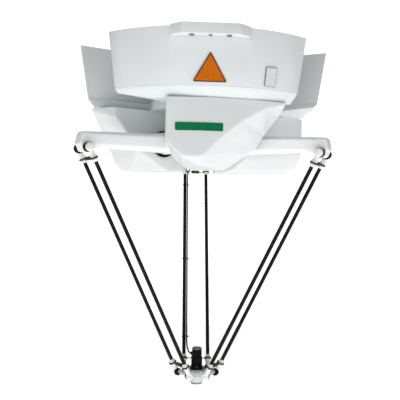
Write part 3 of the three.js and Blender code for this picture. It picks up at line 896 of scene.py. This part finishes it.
@dataclass
class Forearms:
    """The paired rods with their ball sockets and the springs that hold them together."""

    length: float = 800 * MM
    rod_radius: float = 6 * MM
    tube_end: float = 47.5 * MM
    spring_drop: float = 35 * MM
    voxel: float = 0.7 * MM
    rounds: int = 3
    coil_radius: float = 5.2 * MM
    wire: float = 1.2 * MM

    def down(self) -> Vector:
        """The rods' direction at rest for an arm along +X."""
        low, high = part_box("back_carbon_rod_left")
        run = Vector((0, high.y - low.y - 2 * self.rod_radius, high.z - low.z)).normalized()
        return Vector((-run.y, 0, -run.z)).normalized()

    def build(self, finish: Finishes) -> None:
        """Models each forearm's parts and places them."""
        down = self.down()
        for arm in Arm:
            elbow = turn_z(elbow_of(arm), -arm.value)
            for hand in Hand:
                self._rod(arm, hand, elbow, down, finish)
                self._upper_socket(arm, hand, elbow, down, finish)
                self._lower_socket(arm, hand, elbow, down, finish)
            for level, distance in (("upper", self.spring_drop),
                                    ("lower", self.length - self.spring_drop)):
                self._spring(arm, level, elbow + down * distance, down, finish)

    def _rod(self, arm: Arm, hand: Hand, elbow: Vector, down: Vector, finish: Finishes) -> None:
        """One carbon tube."""
        start = elbow + Vector((0, hand.value * rod_offset(), 0)) + down * self.tube_end
        run = self.length - 2 * self.tube_end
        r = self.rod_radius
        tube = Bench.turned(f"{arm.side}_rod_{hand.side}", [
            (r - 0.8 * MM, 0), (r, 0.8 * MM), (r, run * 0.25), (r, run * 0.5), (r, run * 0.75),
            (r, run - 0.8 * MM), (r - 0.8 * MM, run)], 24)
        Bench.swing(Bench.stand(tube, start, down), arm.value)
        Bench.dress(Bench.smooth(tube, 30), finish.carbon, f"{arm.side}_forearm", "carbon",
                    f"{arm.side}_carbon_rod_{hand.side}")

    def _neck(self, name: str, ball: Vector, down: Vector) -> Piece:
        """A socket's stepped neck, from its ball towards the tube."""
        end = self.tube_end
        drop = self.spring_drop
        neck = Bench.turned(name, [
            (7.5 * MM, 6 * MM), (8 * MM, 14 * MM), (8.2 * MM, drop - 9 * MM),
            (9.8 * MM, drop - 7.5 * MM), (9.8 * MM, drop - 3.5 * MM), (8.2 * MM, drop - 2 * MM),
            (8.2 * MM, drop + 2 * MM), (9.8 * MM, drop + 3.5 * MM), (9.8 * MM, drop + 6.5 * MM),
            (7.8 * MM, drop + 8 * MM), (7.2 * MM, end - 1 * MM), (6.4 * MM, end)], 28)
        return Bench.stand(neck, ball, down)

    def _upper_socket(self, arm: Arm, hand: Hand, elbow: Vector, down: Vector,
                      finish: Finishes) -> None:
        """The cup that holds an upper ball from outside, with its neck."""
        ball = elbow + Vector((0, hand.value * rod_offset(), 0))
        name = f"{arm.side}_upper_cup_{hand.side}"
        cup = Bench.turned(name, [
            (13 * MM, -5.8 * MM), (14 * MM, -4.8 * MM), (14 * MM, 5.5 * MM), (12.8 * MM, 9.5 * MM),
            (9 * MM, 11.8 * MM), (4 * MM, 12.3 * MM)], 36)
        Bench.stand(cup, ball, Vector((0, hand.value, 0)))
        item = Bench.join(cup, self._neck("neck", ball, down))
        Bench.melt(item, self.voxel, self.rounds)
        bpy.ops.mesh.primitive_uv_sphere_add(radius=10.3 * MM, location=ball, segments=32,
                                             ring_count=16)
        hollow = Bench.settle(bpy.context.object)
        Bench.cut(item, hollow)
        mouth = Bench.bar("mouth", ball, ball - Vector((0, hand.value * 0.02, 0)), 10.3 * MM, 32)
        Bench.cut(item, mouth)
        Bench.swing(item, arm.value)
        Bench.dress(Bench.smooth(item, 40), finish.socket, f"{arm.side}_forearm", "socket",
                    f"{arm.side}_upper_socket_{hand.side}")
        boot = Bench.turned(f"{arm.side}_ball_boot_{hand.side}", [
            (12.6 * MM, -15.2 * MM), (15 * MM, -14.2 * MM), (15.8 * MM, -9 * MM),
            (15.6 * MM, 0), (15 * MM, 2.6 * MM), (13.6 * MM, 2.8 * MM)], 36)
        self._fit_ring(boot, ball, arm, hand, finish)

    def _lower_socket(self, arm: Arm, hand: Hand, elbow: Vector, down: Vector,
                      finish: Finishes) -> None:
        """The cup round a lower ball, its neck and its black inner seat."""
        foot = elbow + down * self.length
        ball = foot + Vector((0, hand.value * rod_offset(), 0))
        name = f"{arm.side}_lower_cup_{hand.side}"
        cup = Bench.turned(name, [
            (11.2 * MM, 36.5 * MM), (12 * MM, 37.2 * MM), (12 * MM, 41.5 * MM),
            (10.5 * MM, 44.5 * MM), (7 * MM, 46 * MM), (2 * MM, 46.2 * MM)], 36)
        Bench.stand(cup, foot, Vector((0, hand.value, 0)))
        item = Bench.join(cup, self._neck("neck", ball, -down))
        Bench.melt(item, self.voxel, self.rounds)
        Bench.swing(item, arm.value)
        Bench.dress(Bench.smooth(item, 40), finish.socket, f"{arm.side}_forearm", "socket",
                    f"{arm.side}_lower_socket_{hand.side}")
        seat = Bench.turned(f"{arm.side}_lower_seat_{hand.side}", [
            (8 * MM, 28.6 * MM), (10.5 * MM, 29.2 * MM), (12 * MM, 30.6 * MM),
            (12.2 * MM, 35.6 * MM), (11.4 * MM, 36.6 * MM)], 32)
        self._fit_ring(seat, foot, arm, hand, finish)

    @staticmethod
    def _fit_ring(ring: Piece, origin: Vector, arm: Arm, hand: Hand, finish: Finishes) -> None:
        """Stands a rubber ring across the forearm and fits it to its arm."""
        Bench.swing(Bench.stand(ring, origin, Vector((0, hand.value, 0))), arm.value)
        Bench.dress(Bench.smooth(ring, 30), finish.rubber, f"{arm.side}_forearm", "seal")

    def _spring(self, arm: Arm, level: str, centre: Vector, down: Vector,
                finish: Finishes) -> None:
        """A close-wound spring across the rods with a hook round each neck."""
        half = rod_offset()
        coil = 15 * MM
        pitch = 2.3 * self.wire
        turns = round(2 * coil / pitch)
        Bench.deselect()
        bpy.ops.mesh.primitive_circle_add(vertices=6, radius=self.wire,
                                          location=(self.coil_radius, 0, -coil),
                                          rotation=(math.pi / 2, 0, 0))
        body = Bench.named(f"{arm.side}_{level}_coil_spring")
        Bench.settle(body)
        Bench.modify(body, "SCREW", axis="Z", angle=TAU, screw_offset=pitch, iterations=turns,
                     steps=12, render_steps=12, use_merge_vertices=True)
        with Bench.editing(body):
            bpy.ops.mesh.select_all(action="SELECT")
            bpy.ops.mesh.fill_holes(sides=8)
            bpy.ops.mesh.normals_make_consistent(inside=False)
        parts = [Bench.stand(body, centre, Vector((0, 1, 0)))]
        for hand in Hand:
            side = Vector((0, hand.value, 0))
            parts.append(Bench.bar("shank", centre + side * (coil - MM),
                                   centre + side * (half - 8.6 * MM), self.wire * 1.2, 10))
            Bench.deselect()
            bpy.ops.mesh.primitive_torus_add(
                major_radius=10.8 * MM, minor_radius=2.5 * MM, major_segments=28, minor_segments=8)
            parts.append(Bench.stand(bpy.context.object, centre + side * half, down))
        item = Bench.swing(Bench.join(*parts), arm.value)
        Bench.dress(Bench.smooth(item, 60), finish.spring, f"{arm.side}_forearm", "spring",
                    f"{arm.side}_{level}_spring")


# ---- the tool head --------------------------------------------------------------------------


@dataclass
class ToolHead:
    """The moving head: its three-lugged casting, the rotary motor and the turning flange."""

    voxel: float = 1.1 * MM
    rounds: int = 6
    screw_ring: float = 20.2 * MM
    screw_seat: float = 6.6 * MM
    screw_head: float = 4.4 * MM
    screws: int = 6

    def build(self, finish: Finishes) -> None:
        """Models the head's parts."""
        casting = Bench.from_node("tool_head_casting", "head_casting")
        Bench.melt(casting, self.voxel, self.rounds)
        Bench.dress(Bench.smooth(casting, 40), finish.head, "tool_head", "head_paint",
                    "tool_head_casting")
        self._motor(finish)
        self._flange(finish)

    def _motor(self, finish: Finishes) -> None:
        """The black motor, its cap, its plug and its fixing screws."""
        motor = Bench.rounded("rotary_motor", "tool_motor", 0.8 * MM, 3, 40)
        Bench.dress(motor, finish.black, "tool_head", "motor", "rotary_motor")
        cap = Bench.rounded("rotary_motor_cap", "tool_motor_cap", 0.8 * MM, 3, 30)
        Bench.dress(cap, finish.gunmetal, "tool_head", "steel", "rotary_motor_cap")
        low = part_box("rotary_motor")[0]
        ring = self.screw_ring
        seats = []
        for i in range(self.screws):
            angle = TAU * (i + 0.5) / self.screws
            seats.append((Vector((ring * math.cos(angle), ring * math.sin(angle),
                                  low.z + self.screw_seat)), Vector((0, 0, 1))))
        screws = scatter("motor_screws", socket_screw("screw", self.screw_head), seats)
        Bench.dress(screws, finish.gunmetal, "tool_head", "steel")

    def _flange(self, finish: Finishes) -> None:
        """The turning flange with its four tapped holes."""
        flange = Bench.rounded("tool_flange", "turning_flange", 0.6 * MM, 2, 40)
        Bench.dress(flange, finish.gunmetal, "tool_axis", "steel", "tool_flange")


@dataclass
class ToolCable:
    """The tool motor's cable, tied along one back rod: distance, across, inwards, in mm."""

    radius: float = 2.5 * MM
    route: tuple = (
        (19, 7, 0), (24, 14, 6), (32, 22, 12), (44, 28, 14), (58, 31, 10), (76, 31.2, 4),
        (110, 31.2, 0), (250, 31.2, 0), (400, 31.2, 0), (550, 31.2, 0), (680, 31.2, 0),
        (716, 30.6, 1), (738, 27, 6), (750, 21.5, 15), (754, 15.5, 25))
    ties: tuple = (92, 400, 690)
    plug_rise: float = 36.7 * MM

    def point(self, down: Vector, distance: float, across: float, inward: float) -> Vector:
        """A route point for an arm along +X."""
        elbow = turn_z(elbow_of(Arm.BACK), -Arm.BACK.value)
        lift = Vector((down.z, 0, -down.x))
        return elbow + (down * distance + Vector((0, across, 0)) + lift * inward) * MM

    def _boot(self, down: Vector, finish: Finishes) -> None:
        """The motor plug's hollow rubber boot, which the cable's end slides into."""
        end = turn_z(self.point(down, *self.route[-1]), Arm.BACK.value)
        root = Vector((0, 0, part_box("rotary_motor")[0].z + self.plug_rise))
        reach = (end - root).length
        boot = Bench.turned("plug_boot", [
            (4.4 * MM, reach * 0.6), (6 * MM, reach * 0.64), (6.2 * MM, reach * 0.8),
            (5.6 * MM, reach * 0.98), (4.6 * MM, reach * 0.98), (4.4 * MM, reach * 0.72)], 28)
        Bench.dress(Bench.smooth(Bench.stand(boot, root, end - root), 30), finish.rubber,
                    "tool_head", "motor")

    def build(self, down: Vector, finish: Finishes) -> None:
        """Models the cable, its ties and the boot at its end."""
        self._boot(down, finish)
        curve = bpy.data.curves.new("tool_cable", "CURVE")
        curve.dimensions = "3D"
        curve.bevel_depth = self.radius
        curve.bevel_resolution = 3
        spline = curve.splines.new("BEZIER")
        spline.bezier_points.add(len(self.route) - 1)
        for knot, step in zip(spline.bezier_points, self.route):
            knot.co = self.point(down, *step)
            knot.handle_left_type = knot.handle_right_type = "AUTO"
        curve.use_fill_caps = True
        item = bpy.data.objects.new("tool_cable", curve)
        bpy.context.scene.collection.objects.link(item)
        Bench.take(item)
        bpy.ops.object.convert(target="MESH")
        item = Bench.swing(bpy.context.object, Arm.BACK.value)
        Bench.dress(Bench.smooth(item, 50), finish.rubber, "back_forearm", "cable",
                    "tool_motor_cable")
        parts = []
        for place in self.ties:
            middle = self.point(down, place, 36.2, 0)
            Bench.deselect()
            bpy.ops.mesh.primitive_torus_add(major_radius=1.0, minor_radius=0.08,
                                             major_segments=32, minor_segments=8)
            tie = bpy.context.object
            tie.scale = (7.6 * MM, 11.6 * MM, 16 * MM)
            Bench.settle(tie)
            parts.append(Bench.stand(tie, middle, down))
        ties = Bench.swing(Bench.join(*parts), Arm.BACK.value)
        ties.name = "cable_ties"
        Bench.dress(Bench.smooth(ties, 60), finish.black, "back_forearm", "cable")


# ---- small things on the covers ----------------------------------------------------------------


@dataclass
class Plates:
    """The sign plate, the rating plate and the name bar, all without any print."""

    lift: float = 0.35 * MM

    def build(self, finish: Finishes) -> None:
        """Rounds each plate and lays its inner field on it."""
        jobs = (
            ("sign_plate", "sign", finish.ink, finish.orange, 3.0 * MM, 5 * MM),
            ("rating_plate", "label", finish.ink, finish.label, 0.9 * MM, 2 * MM),
            ("name_bar", "name_bar", finish.green, finish.green, 0.0, 5 * MM),
        )
        for node, slot, back, face, border, corner in jobs:
            plate = Bench.from_node(node, f"{node}_backing")
            self._round(plate, corner)
            if border:
                self._field(plate, node, face, slot, border)
            Bench.dress(Bench.smooth(plate, 30), back, "base", slot, node)

    @staticmethod
    def _round(plate: Piece, corner: float) -> None:
        """Rounds a thin plate's corners in its own plane."""
        with Bench.editing(plate, "EDGE"):
            Bench.pick(plate, lambda e: e.calc_length() < 2 * MM and
                       e.calc_face_angle(0) > math.radians(20), "edges")
            bpy.ops.mesh.bevel(offset=corner, segments=6, affect="EDGES")

    def _field(self, plate: Piece, node: str, face: Material, slot: str,
               border: float) -> None:
        """A thin field on the plate's outer face, inside its border."""
        item = Bench.copy(plate, f"{node}_field")
        largest = max(item.data.polygons, key=lambda p: p.area - 1e-6 * p.center.y)
        outer = [p for p in item.data.polygons if p.area > largest.area * 0.98]
        front = min(outer, key=lambda p: p.center.y)
        normal = front.normal.copy()
        with Bench.editing(item):
            Bench.pick(item, lambda f: f.normal.dot(normal) > 0.99)
            bpy.ops.mesh.inset(thickness=border, depth=0)
            bpy.ops.mesh.select_all(action="INVERT")
            bpy.ops.mesh.delete(type="FACE")
            bpy.ops.mesh.select_all(action="SELECT")
            bpy.ops.mesh.extrude_region_move(
                TRANSFORM_OT_translate={"value": normal * self.lift})
            bpy.ops.mesh.select_all(action="SELECT")
            bpy.ops.mesh.normals_make_consistent(inside=False)
        Bench.dress(Bench.smooth(item, 30), face, "base", slot)


@dataclass
class Inside:
    """The drives behind the housings and the connector panel, kept as the frame has them."""

    def dress(self, finish: Finishes) -> None:
        """Gives the frame's own nodes their finishes."""
        for arm in Arm:
            self._paint(f"{arm.side}_servo_motor", finish.black)
            self._paint(f"{arm.side}_gear_reducer", finish.steel)
        self._paint("connector_panel", finish.steel)

    @staticmethod
    def _paint(node: str, material: Material) -> None:
        """Swaps a node's material in its slots."""
        item = frame["nodes"][node]
        for slot in item.material_slots:
            slot.material = material


# ---- the studio -----------------------------------------------------------------------------


@dataclass
class Studio:
    """A pale floor, a white surround, soft lights and the camera."""

    eye: tuple[float, float, float] = (-0.1127, -2.257, -0.512)
    heading: float = 2.858
    pitch: float = 0.896
    roll: float = 1.179
    focal: float = 683.3
    frame_side: float = 400.0
    sensor: float = 36.0
    floor_z: float = -3.2

    def camera(self) -> None:
        """Sets the camera at its place."""
        data = bpy.data.cameras.new("camera")
        data.sensor_width = self.sensor
        data.lens = self.focal / self.frame_side * self.sensor
        data.clip_end = 60
        item = bpy.data.objects.new("camera", data)
        bpy.context.scene.collection.objects.link(item)
        turn, tilt, bank = (math.radians(v) for v in (self.heading, self.pitch, self.roll))
        ahead = Vector((math.sin(turn) * math.cos(tilt), math.cos(turn) * math.cos(tilt),
                        math.sin(tilt)))
        right = ahead.cross(Vector((0, 0, 1))).normalized()
        up = right.cross(ahead)
        side = right * math.cos(bank) + up * math.sin(bank)
        top = up * math.cos(bank) - right * math.sin(bank)
        axes = Matrix((side, top, -ahead)).transposed().to_4x4()
        item.matrix_world = Matrix.Translation(self.eye) @ axes
        bpy.context.scene.camera = item

    def build(self) -> None:
        """Builds the floor, the surround and the lights."""
        bpy.context.scene.view_settings.view_transform = "Standard"
        self.camera()
        Bench.deselect()
        bpy.ops.mesh.primitive_circle_add(vertices=96, radius=14, fill_type="NGON",
                                          location=(0, 0, self.floor_z))
        floor = Bench.named("studio_floor")
        g = Graph("pale_floor")
        g.feed("Base Color", g.blend(g.noise(0.6), (0.86, 0.86, 0.86), (0.84, 0.84, 0.845)))
        g.feed("Roughness", 0.9)
        g.feed("Emission Color", (1.0, 1.0, 1.0, 1.0))
        g.feed("Emission Strength", 0.75)
        floor.data.materials.append(g.material)
        self._surround()
        self._light("key", (-1.4, -3.0, 0.3), (0, 0, -0.3), 2.4, 15)
        self._light("fill", (2.6, -2.4, -0.6), (0, 0, -0.4), 2.4, 7)
        self._light("lift", (0.1, -1.2, -2.2), (0.0, 0, -0.2), 2.2, 17)

    @staticmethod
    def _surround() -> None:
        """A white surround, brighter to the eye than as a light."""
        world = bpy.data.worlds.new("surround")
        bpy.context.scene.world = world
        world.use_nodes = True
        tree = world.node_tree
        background = tree.nodes["Background"]
        path = tree.nodes.new("ShaderNodeLightPath")
        strength = tree.nodes.new("ShaderNodeMapRange")
        strength.inputs["To Min"].default_value = 0.34
        strength.inputs["To Max"].default_value = 1.3
        tree.links.new(path.outputs["Is Camera Ray"], strength.inputs["Value"])
        tree.links.new(strength.outputs["Result"], background.inputs["Strength"])
        background.inputs["Color"].default_value = (1, 1, 1, 1)

    @staticmethod
    def _light(name: str, place: Sequence[float], aim: Sequence[float], size: float,
               power: float) -> None:
        """One square soft light."""
        data = bpy.data.lights.new(name, "AREA")
        data.size = size
        data.energy = power
        item = bpy.data.objects.new(name, data)
        item.location = place
        way = Vector(aim) - Vector(place)
        item.rotation_euler = way.to_track_quat("-Z", "Y").to_euler()
        bpy.context.scene.collection.objects.link(item)


def main() -> None:
    """Builds the robot and its studio."""
    logging.basicConfig(level=logging.INFO, format="%(message)s")
    Studio().build()
    finish = Finishes.mixed()
    place_on_lobes(UpperCovers().build(), "cover_shell", "upper_cover", finish)
    BaseCasting().build(finish)
    place_on_lobes(MotorHousings().build(), "housing_shell", "motor_housing", finish)
    arms = UpperArms()
    arms.dress(arms.build(), finish)
    forearms = Forearms()
    forearms.build(finish)
    ToolHead().build(finish)
    ToolCable().build(forearms.down(), finish)
    Plates().build(finish)
    Inside().dress(finish)


if __name__ == "__main__":
    main()
